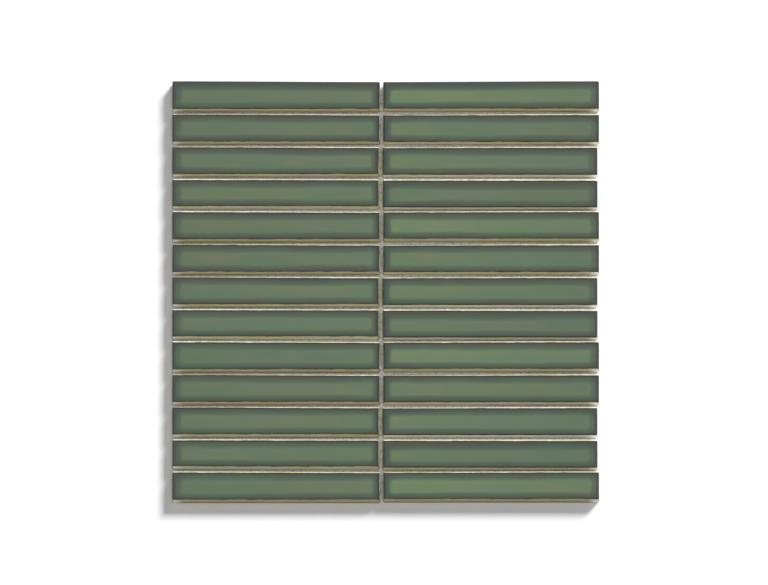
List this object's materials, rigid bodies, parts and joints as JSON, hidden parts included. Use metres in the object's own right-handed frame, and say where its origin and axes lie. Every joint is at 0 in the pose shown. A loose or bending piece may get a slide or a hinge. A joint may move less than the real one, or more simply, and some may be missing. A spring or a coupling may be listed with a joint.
{
  "type": "mosaic tile sheet",
  "caption": "Mesh-backed mosaic sheet of long glazed ceramic finger tiles laid in straight stacked rows, for bedding on a wall or floor.",
  "frame": {"origin": "under the middle of the sheet's overall box, on the plane that the mesh rests on", "axes": "+Z out of the glazed faces, +X along the tiles from the left column to the right one, +Y up the sheet towards the first row"},
  "size_m": [0.2952, 0.3026, 0.0086],
  "materials": {
    "green_glaze": "satin",
    "scrim_mesh": "matte"
  },
  "bodies": {
    "root": {"tile_row_01_left": "green_glaze", "tile_row_01_right": "green_glaze", "tile_row_02_left": "green_glaze", "tile_row_02_right": "green_glaze", "tile_row_03_left": "green_glaze", "tile_row_03_right": "green_glaze", "tile_row_04_left": "green_glaze", "tile_row_04_right": "green_glaze", "tile_row_05_left": "green_glaze", "tile_row_05_right": "green_glaze", "tile_row_06_left": "green_glaze", "tile_row_06_right": "green_glaze", "tile_row_07_left": "green_glaze", "tile_row_07_right": "green_glaze", "tile_row_08_left": "green_glaze", "tile_row_08_right": "green_glaze", "tile_row_09_left": "green_glaze", "tile_row_09_right": "green_glaze", "tile_row_10_left": "green_glaze", "tile_row_10_right": "green_glaze", "tile_row_11_left": "green_glaze", "tile_row_11_right": "green_glaze", "tile_row_12_left": "green_glaze", "tile_row_12_right": "green_glaze", "tile_row_13_left": "green_glaze", "tile_row_13_right": "green_glaze", "mesh_threads_upright": "scrim_mesh", "mesh_threads_lengthwise": "scrim_mesh"}
  },
  "joints": []
}
